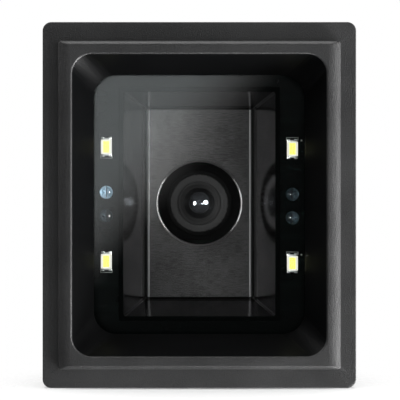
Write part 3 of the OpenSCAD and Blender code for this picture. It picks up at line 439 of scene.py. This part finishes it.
finishes = {
    "bezel_plastic": mouldedPlastic("bezelPlastic", bezelLook),
    "housing_plastic": mouldedPlastic("housingPlastic", housingLook),
    "window_glass": windowGlass(),
    "seal_rubber": rubber(),
    "board_mask": solderMask("boardMask", maskLook),
    "led_white": ledResin(),
    "led_phosphor": ledGel(),
    "solder_tin": metal("solderTin", tinLook),
    "clear_resin": clearResin(),
    "tunnel_black": tunnelGloss(),
    "bracket_satin": satinPlate(),
    "screw_steel": metal("screwSteel", steelLook),
    "lens_metal": blackAnodised(),
    "lens_glass": coatedGlass("lensGlass", opticLook),
    "holder_plastic": plainPlastic("holderPlastic", holderLook),
    "filter_glass": coatedGlass("filterGlass", filterLook),
    "board_green": solderMask("boardGreen", greenLook),
    "chip_resin": plainPlastic("chipResin", chipLook),
    "connector_ivory": plainPlastic("connectorIvory", ivoryLook),
    "jack_black": plainPlastic("jackBlack", jackLook),
    "contact_gold": metal("contactGold", goldLook),
    "ribbon_film": plainPlastic("ribbonFilm", ribbonLook),
    "insert_brass": metal("insertBrass", brassLook),
}
boardInk = plainPlastic("boardInk", inkLook)

slotOfNode = {row["node"]: row["material_slot"] for row in frame["record"]["subparts"]}
for name, part in cadNodes.items():
    part.material_slots[0].material = finishes[slotOfNode[name]]
print("finishes set on", len(slotOfNode), "nodes")


# moulded and machined edges

edgeRadius = {  # in millimetres; 0 keeps the edges, None keeps flat faces too
    "front_bezel": 0.22, "rear_housing": 0.25, "window": 0.12, "illumination_board": None,
    "led_packages": 0.07, "led_phosphors": 0.03, "led_terminals": 0.06, "light_tunnel": 0.08,
    "camera_bracket": 0.06, "lens_barrel": 0.06, "lens_retainer": 0.04, "lens_holder": 0.15,
    "cable_jack": 0.15, "jack_contacts": 0.06, "mounting_inserts": 0.10, "housing_gasket": 0.12,
    "window_gasket": 0.05, "processor_chip": 0.08, "memory_chip": 0.08, "beeper": 0.2, "link_plug": 0.1,
    "link_socket": 0.1, "ribbon_connectors": 0.1, "main_board": 0.06, "sensor_board": 0.06,
    "image_sensor": 0.05, "ir_filter": 0.04, "led_ribbon": 0.04, "tunnel_screws": 0.06,
    "bracket_screws": 0.06, "holder_screws": 0.05, "sensor_screws": 0.06, "main_board_screws": 0.06,
    "case_screws": 0.08, "aiming_leds": 0, "front_lens": 0, "rear_lens": 0,
}
# angles in degrees; what is sharper is rounded
edgeStyle = {"segments": 3, "angle": 32, "shallow": {"camera_bracket": 20}}
weldReach = 0.0005 * mm


def smoothGroup():
    group = bpy.data.node_groups.new("smoothFaces", "GeometryNodeTree")
    group.interface.new_socket("Geometry", in_out="INPUT", socket_type="NodeSocketGeometry")
    group.interface.new_socket("Geometry", in_out="OUTPUT", socket_type="NodeSocketGeometry")
    start = group.nodes.new("NodeGroupInput")
    smooth = group.nodes.new("GeometryNodeSetShadeSmooth")
    end = group.nodes.new("NodeGroupOutput")
    group.links.new(start.outputs[0], smooth.inputs[0])
    group.links.new(smooth.outputs[0], end.inputs[0])
    return group


allSmooth = smoothGroup()


def softenEdges(part, radius, angle):
    weld = part.modifiers.new("weld", "WELD")
    weld.merge_threshold = weldReach
    if radius:
        edge = part.modifiers.new("edge", "BEVEL")
        edge.width = radius * mm
        edge.segments = edgeStyle["segments"]
        edge.limit_method = "ANGLE"
        edge.angle_limit = math.radians(angle)
        edge.use_clamp_overlap = False
        edge.loop_slide = False  # sliding folds the thin faces beside holes
    smooth = part.modifiers.new("smooth", "NODES")
    smooth.node_group = allSmooth
    if radius:
        weighted = part.modifiers.new("weighted", "WEIGHTED_NORMAL")
        weighted.keep_sharp = True


for name, part in cadNodes.items():
    if edgeRadius[name] is not None:
        softenEdges(part, edgeRadius[name], edgeStyle["shallow"].get(name, edgeStyle["angle"]))
print("edges softened")


# small pieces on the illumination board

def newPiece(name, mesh, slot, finish=None):
    data = bpy.data.meshes.new(name)
    mesh.to_mesh(data)
    mesh.free()
    piece = bpy.data.objects.new(name, data)
    bpy.context.scene.collection.objects.link(piece)
    data.materials.append(finish or finishes[slot])
    for face in data.polygons:
        face.use_smooth = True
    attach(piece, "root")
    return piece


def boxIslands(node):  # boxes of the separate solids of a node
    mesh = bmesh.new()
    mesh.from_mesh(cadNodes[node].data)
    bmesh.ops.remove_doubles(mesh, verts=mesh.verts, dist=weldReach)
    seen, found = set(), []
    for vert in mesh.verts:
        if vert in seen:
            continue
        stack, island = [vert], []
        seen.add(vert)
        while stack:
            one = stack.pop()
            island.append(one.co.copy())
            for edge in one.link_edges:
                other = edge.other_vert(one)
                if other not in seen:
                    seen.add(other)
                    stack.append(other)
        low = Vector(min(p[i] for p in island) for i in range(3))
        high = Vector(max(p[i] for p in island) for i in range(3))
        found.append((low, high))
    mesh.free()
    return found


ledBoxes = boxIslands("led_packages")
domeBoxes = boxIslands("aiming_leds")
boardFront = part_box("illumination_board")[0].y
print("white LEDs:", len(ledBoxes), "domed LEDs:", len(domeBoxes))

solderLook = {  # millimetres; two joints at each end of a white LED
    "apart": 0.82, "wide": 0.72, "reach": 0.62, "under": 0.25, "tall": 0.20, "fall": 1.4, "foot": 0.03,
    "across": 8, "along": 8,
}


def solderMound(mesh, middle, end, out):
    look = solderLook
    rows = []
    for i in range(look["along"] + 1):
        t = i / look["along"]
        z = end + out * (-look["under"] + t * (look["under"] + look["reach"]))
        row = []
        for k in range(look["across"] + 1):
            u = 2 * k / look["across"] - 1
            lift = look["foot"] + look["tall"] * (1 - t) ** look["fall"] * math.sqrt(max(0, 1 - u * u))
            x = middle + u * look["wide"] / 2
            row.append(mesh.verts.new((x * mm, boardFront - lift * mm, z * mm)))
        rows.append(row)
    for low, high in zip(rows, rows[1:]):
        for k in range(look["across"]):
            mesh.faces.new((low[k], low[k + 1], high[k + 1], high[k]))
    rim = rows[0] + [row[-1] for row in rows[1:]] + rows[-1][-2::-1] + [row[0] for row in rows[-2:0:-1]]
    feet = [mesh.verts.new((v.co.x, boardFront, v.co.z)) for v in rim]
    for i in range(len(rim)):
        after = (i + 1) % len(rim)
        mesh.faces.new((rim[i], rim[after], feet[after], feet[i]))
    mesh.faces.new(feet)


def ledSolder():
    mesh = bmesh.new()
    for low, high in ledBoxes:
        middle = (low.x + high.x) / 2 / mm
        for side in (-1, 1):
            for end, out in ((low.z / mm, -1), (high.z / mm, 1)):
                solderMound(mesh, middle + side * solderLook["apart"], end, out)
    bmesh.ops.recalc_face_normals(mesh, faces=mesh.faces)
    return newPiece("ledSolder", mesh, "solder_tin")


solderPiece = ledSolder()

inkShape = {"line": 0.13, "thick": 0.02, "gapX": 0.10, "gapZ": 0.92, "arm": 0.62,
            "dot": 0.20, "dotOut": 0.75, "dotSides": 20}


def slab(mesh, left, right, low, high, back, front):
    corners = [mesh.verts.new((x * mm, y, z * mm)) for y in (back, front)
               for x, z in ((left, low), (right, low), (right, high), (left, high))]
    for ring in ((3, 2, 1, 0), (4, 5, 6, 7), (0, 1, 5, 4), (1, 2, 6, 5), (2, 3, 7, 6), (3, 0, 4, 7)):
        mesh.faces.new([corners[i] for i in ring])


# printed bracket under each white LED on the left, over it on the right, and a dot beside those
def boardPrint():
    mesh = bmesh.new()
    look = inkShape
    half = look["line"] / 2
    for low, high in ledBoxes:
        left, right = low.x / mm - look["gapX"], high.x / mm + look["gapX"]
        front = boardFront - look["thick"] * mm
        out = 1 if low.x > 0 else -1
        bar = (high.z if out > 0 else low.z) / mm + out * look["gapZ"]
        ends = sorted((bar - out * half, bar - out * (look["arm"] + half)))
        for x in (left, right):
            slab(mesh, x - half, x + half, *ends, boardFront, front)
        slab(mesh, left - half, right + half, bar - half, bar + half, boardFront, front)
        if low.x > 0:
            spot = Vector(((right + look["dotOut"]) * mm, boardFront, (bar - look["arm"]) * mm))
            facing = Matrix.Translation(spot) @ Matrix.Rotation(math.pi / 2, 4, "X")
            bmesh.ops.create_cone(mesh, cap_ends=True, segments=look["dotSides"], radius1=look["dot"] * mm,
                                  radius2=look["dot"] * mm, depth=2 * look["thick"] * mm, matrix=facing)
    bmesh.ops.recalc_face_normals(mesh, faces=mesh.faces)
    newPiece("boardPrint", mesh, "led_white", boardInk)


boardPrint()

# inside each domed LED: a dished cup in two halves, with its chip on one side
cupLook = {
    "radius": 1.08, "dish": 0.62, "flare": 0.14, "lip": 0.06, "split": 0.05, "chip": 0.34, "steps": 14,
    "front": frontOf("illumination_board") - 0.58, "dishBack": frontOf("illumination_board") - 0.28,
    "back": frontOf("illumination_board") - 0.05, "weld": 0.001, "patch": 0.26, "metal": 0.6,
    # painted light: the bright colours and glow light up the upper left cup, the dim ones the rest
    "bright": (0.42, 0.54, 0.62, 1), "brightDeep": (0.20, 0.30, 0.37, 1), "brightGlow": 0.31,
    "dim": (0.035, 0.055, 0.064, 1), "dimDeep": (0.008, 0.013, 0.016, 1), "dimGlow": 0.20,
}


# painted light: each cup glows by itself
def cupFinish(name, dark, light, glow):
    tree = Finish(name, {"Metallic": cupLook["metal"], "Emission Strength": glow})
    patch = tree.noise(cupLook["patch"], 2, 0.6)
    skin = tree.mix(tree.rise(patch, 0.35, 0.7), dark, light)
    return tree.paint(baseColor=skin, emissionColor=skin, roughness=0.25 + 0.3 * patch)


def halfCup(mesh, x, z, side):
    look = cupLook
    radius, front, back = look["radius"], look["front"], look["back"]
    outline = ((0, look["dishBack"]), (look["dish"], look["dishBack"]), (look["dish"] + look["flare"], front),
               (radius - look["lip"], front), (radius, front + look["lip"]), (radius, back), (0, back))
    middle = x + side * look["split"]
    rings = []
    for i in range(look["steps"] + 1):
        turn = math.pi * i / look["steps"] - math.pi / 2
        across, up = side * math.cos(turn), math.sin(turn)
        places = [(middle + r * across, y, z + r * up) for r, y in outline]
        rings.append([mesh.verts.new(Vector(place) * mm) for place in places])
    for low, high in zip(rings, rings[1:]):
        for i in range(len(outline)):
            after = (i + 1) % len(outline)
            if outline[i][0] + outline[after][0] > 0:
                mesh.faces.new((low[i], low[after], high[after], high[i]))
    mesh.faces.new(rings[0])
    mesh.faces.new(rings[-1])


def ledCups(name, boxes, finish):
    mesh = bmesh.new()
    half = cupLook["chip"] / 2
    for low, high in boxes:
        x, z = (low.x + high.x) / 2 / mm, (low.z + high.z) / 2 / mm
        for side in (-1, 1):
            halfCup(mesh, x, z, side)
        chipX = x - cupLook["split"] - 2 * half
        chipBack = cupLook["dishBack"]
        slab(mesh, chipX - half, chipX + half, z - half, z + half, chipBack * mm, (chipBack - half) * mm)
    bmesh.ops.remove_doubles(mesh, verts=mesh.verts, dist=cupLook["weld"] * mm)
    bmesh.ops.recalc_face_normals(mesh, faces=mesh.faces)
    newPiece(name, mesh, "solder_tin", finish)


upperLeft = [box for box in domeBoxes if box[0].x < 0 and box[0].z > 0]
others = [box for box in domeBoxes if box not in upperLeft]
# painted light: the upper left cup gets the lighter copy with the stronger glow
paintedLitCupFinish = cupFinish("cupBright", cupLook["brightDeep"], cupLook["bright"], cupLook["brightGlow"])
paintedGlowCupFinish = cupFinish("cupDim", cupLook["dimDeep"], cupLook["dim"], cupLook["dimGlow"])
ledCups("paintedLitCup", upperLeft, paintedLitCupFinish)
ledCups("paintedGlowCups", others, paintedGlowCupFinish)
print("board pieces made")


# floor, camera and light

stageLook = {  # lengths in millimetres
    "radius": 60.0, "fadeFrom": 12.0, "rings": 6, "sides": 64, "drop": 0.05, "middleY": -12.0,
    "dark": grey(0.93), "light": grey(0.96), "cloud": 40, "rough": 0.8, "shine": 0.2,
}


# a round pale sheet that fades out into the white room
def floorSheet():
    mesh = bmesh.new()
    level = startBounds[0].z - stageLook["drop"] * mm
    middleY = stageLook["middleY"] * mm
    middle = mesh.verts.new((0, middleY, level))
    turns = [2 * math.pi * i / stageLook["sides"] for i in range(stageLook["sides"])]
    inner = None
    for step in range(1, stageLook["rings"] + 1):
        reach = stageLook["radius"] * mm * step / stageLook["rings"]
        outer = [mesh.verts.new((reach * math.cos(a), middleY + reach * math.sin(a), level)) for a in turns]
        for i in range(len(outer)):
            after = (i + 1) % len(outer)
            if inner:
                mesh.faces.new((inner[i], outer[i], outer[after], inner[after]))
            else:
                mesh.faces.new((middle, outer[i], outer[after]))
        inner = outer
    data = bpy.data.meshes.new("floorSheet")
    mesh.to_mesh(data)
    mesh.free()
    sheet = bpy.data.objects.new("floorSheet", data)
    bpy.context.scene.collection.objects.link(sheet)
    tree = Finish("floorPaper", {"Roughness": stageLook["rough"], "Specular IOR Level": stageLook["shine"]})
    x, y, _ = tree.axes()
    away = (x * x + (y - stageLook["middleY"]) ** 2) ** 0.5
    cloud = tree.noise(stageLook["cloud"], 2, 0.5)
    data.materials.append(tree.paint(baseColor=tree.mix(cloud, stageLook["dark"], stageLook["light"]),
                                     alpha=1 - tree.rise(away, stageLook["fadeFrom"], stageLook["radius"])))
    sheet.visible_glossy = False
    sheet.visible_shadow = False  # some softboxes stand below the floor line
    return sheet


floor = floorSheet()

viewLook = {  # millimetres, on the flange's front face
    "distance": 320.0, "height": 6.3, "acrossImage": 86.7, "middleX": 0.143, "middleZ": 1.10,
    "sensor": 36.0, "nearest": 10.0,
}


def addCamera():
    data = bpy.data.cameras.new("frontView")
    data.sensor_width = viewLook["sensor"]
    data.lens = viewLook["sensor"] * viewLook["distance"] / viewLook["acrossImage"]
    data.shift_y = (viewLook["middleZ"] - viewLook["height"]) / viewLook["acrossImage"]
    data.clip_start = viewLook["nearest"] * mm
    camera = bpy.data.objects.new("frontView", data)
    camera.location = (viewLook["middleX"] * mm, -viewLook["distance"] * mm, viewLook["height"] * mm)
    camera.rotation_euler = (math.pi / 2, 0, 0)
    bpy.context.scene.collection.objects.link(camera)
    bpy.context.scene.camera = camera


addCamera()

# place and size in metres, glow, and the groups each one lights;
# a narrow one has its beam in degrees and the point it is aimed at
softboxes = {
    "keyBox": {"at": (0.60, -0.47, -0.10), "size": (0.32, 0.60), "glow": 2.0, "lights": ("case",)},
    "sideBox": {"at": (0.76, -0.28, 0.0), "size": (0.30, 0.60), "glow": 10.6, "lights": ("case",)},
    "lowBox": {"at": (0.15, -0.50, -0.55), "size": (0.36, 0.36), "glow": 2.4, "lights": ("case",)},
    "cornerBox": {"at": (0.58, -0.12, -0.58), "size": (0.40, 0.40), "glow": 56.0, "lights": ("case",)},
    "cornerFill": {"at": (-0.58, -0.12, 0.58), "size": (0.34, 0.34), "glow": 10.0, "lights": ("case",)},
    "topBox": {"at": (0.0, -0.02, 0.80), "size": (0.80, 0.60), "glow": 4.1, "lights": ("case", "floor")},
    "backBox": {"at": (0.20, 0.80, 0.40), "size": (0.60, 0.60), "glow": 3.0, "lights": ("rear",)},
    "leftBox": {"at": (-0.80, -0.08, 0.0), "size": (0.20, 0.50), "glow": 1.8, "lights": ("case",)},
    "floorBox": {"at": (0.0, -0.10, 0.70), "size": (0.60, 0.60), "glow": 2.75, "lights": ("floor",)},
    "leftSide": {"at": (-0.60, -0.42, 0.02), "size": (0.20, 0.50), "glow": 2.4,
                 "lights": ("bracket", "barrel")},
    "leftSlit": {"at": (-0.575, -0.437, 0.02), "size": (0.04, 0.90), "glow": 4.4, "lights": ("bracket",)},
    "rightSlit": {"at": (0.575, -0.437, 0.02), "size": (0.04, 0.90), "glow": 10.5, "lights": ("bracket",)},
    "plateLight": {"at": (-0.12, -0.60, 0.14), "size": (0.015, 0.015), "glow": 2800.0, "lights": ("plate",),
                   "beam": 4.5, "to": (-0.014, 0.0206, 0.011)},
    "plateLow": {"at": (0.06, -0.62, -0.10), "size": (0.015, 0.015), "glow": 900.0, "lights": ("bracket",),
                 "beam": 1.8, "to": (0.001, 0.0206, -0.017)},
    "barrelLight": {"at": (-0.50, -0.46, 0.14), "size": (0.25, 0.25), "glow": 10.0, "lights": ("barrel",)},
    "rightLamp": {"at": (0.355, -0.58, 0.03), "size": (0.26, 0.24), "glow": 42.0,
                  "lights": ("lens",), "round": True},
    "leftLamp": {"at": (-0.25, -0.62, 0.04), "size": (0.12, 0.12), "glow": 42.0,
                 "lights": ("lens",), "round": True},
    "domeLeft": {"at": (-0.55, -0.46, 0.05), "size": (0.25, 0.25), "glow": 60.0,
                 "lights": ("domes", "pads"), "round": True},
    "domeRight": {"at": (0.55, -0.46, 0.02), "size": (0.25, 0.25), "glow": 60.0,
                  "lights": ("domes", "pads"), "round": True},
}
litTogether = {
    "case": ("front_bezel", "rear_housing", "housing_gasket"),
    "rear": ("rear_housing", "mounting_inserts", "case_screws", "cable_jack"),
    "plate": ("camera_bracket", "light_tunnel"),
    "bracket": ("camera_bracket",),
    "barrel": ("lens_barrel", "lens_retainer"),
    "lens": ("front_lens", "rear_lens"),
    "domes": ("aiming_leds",),
    "pads": ("led_terminals", "ledSolder"),
    "floor": ("floorSheet",),
}
lightTargets = {**cadNodes, "ledSolder": solderPiece, "floorSheet": floor}


def addSoftboxes():
    for name, look in softboxes.items():
        data = bpy.data.lights.new(name, "AREA")
        data.shape = "ELLIPSE" if "round" in look else "RECTANGLE"
        data.size, data.size_y = look["size"]
        data.energy = look["glow"] * math.pi * look["size"][0] * look["size"][1]
        lamp = bpy.data.objects.new(name, data)
        lamp.location = look["at"]
        if "beam" in look:  # a narrow beam gathers the power, so it is scaled back
            half = math.radians(look["beam"]) / 2
            data.spread = 2 * half
            data.energy *= 1 - half / math.tan(half)
        aim = Vector(look.get("to", (0, 0, 0))) - Vector(look["at"])
        lamp.rotation_euler = aim.to_track_quat("-Z", "Y").to_euler()
        lamp.visible_camera = False
        lit = bpy.data.collections.new(name + "Lit")
        for group in look["lights"]:
            for target in litTogether[group]:
                lit.objects.link(lightTargets[target])
        lamp.light_linking.receiver_collection = lit
        bpy.context.scene.collection.objects.link(lamp)


addSoftboxes()

# an even room with a dark patch around the camera and a bright sheet up to its left,
# whose slanted edge is what the pane mirrors
roomLook = {
    "room": 0.24, "roomSide": 0.20, "backdrop": 1.0,
    "sheet": 1.14, "sheetTint": (0.91, 0.985, 1.0, 1), "sheetReach": 0.16, "sheetSoft": 0.10,
    "edgeX": -0.766, "edgeZ": 0.643, "edgeLow": 0.001, "edgeHigh": 0.057,
    "patchReach": 0.13, "patchSoft": 0.07, "patchDepth": 0.95,
}


def addRoom():
    world = bpy.data.worlds.new("room")
    bpy.context.scene.world = world
    tree = Tree(world)
    look = roomLook
    split = tree.node("SeparateXYZ", sockets={0: tree.node("TexCoord", output=0)})
    x, y, z = [Signal(tree, out) for out in split.socket.node.outputs]
    ahead = y < 0
    off = (x * x + z * z) ** 0.5
    lit = tree.rise(x * look["edgeX"] + z * look["edgeZ"], look["edgeLow"], look["edgeHigh"]) * ahead
    sheet = lit * (1 - tree.rise(off, look["sheetReach"], look["sheetReach"] + look["sheetSoft"]))
    patch = 1 - tree.rise(off, look["patchReach"], look["patchReach"] + look["patchSoft"])
    patch = patch * ahead * (1 - lit)
    room = look["room"] + look["roomSide"] * x  # brighter on the right
    glow = room * (1 - look["patchDepth"] * patch) * (1 - sheet) + look["sheet"] * sheet
    seen = tree.node("LightPath")
    background = tree.nodes["Background"].inputs
    tree.feed(background["Color"], tree.mix(sheet * (1 - seen), grey(1.0), look["sheetTint"]))
    tree.feed(background["Strength"], glow * (1 - seen) + look["backdrop"] * seen)


addRoom()
bpy.context.scene.view_settings.view_transform = "Standard"
bpy.context.scene.view_settings.look = "None"
print("stage set")
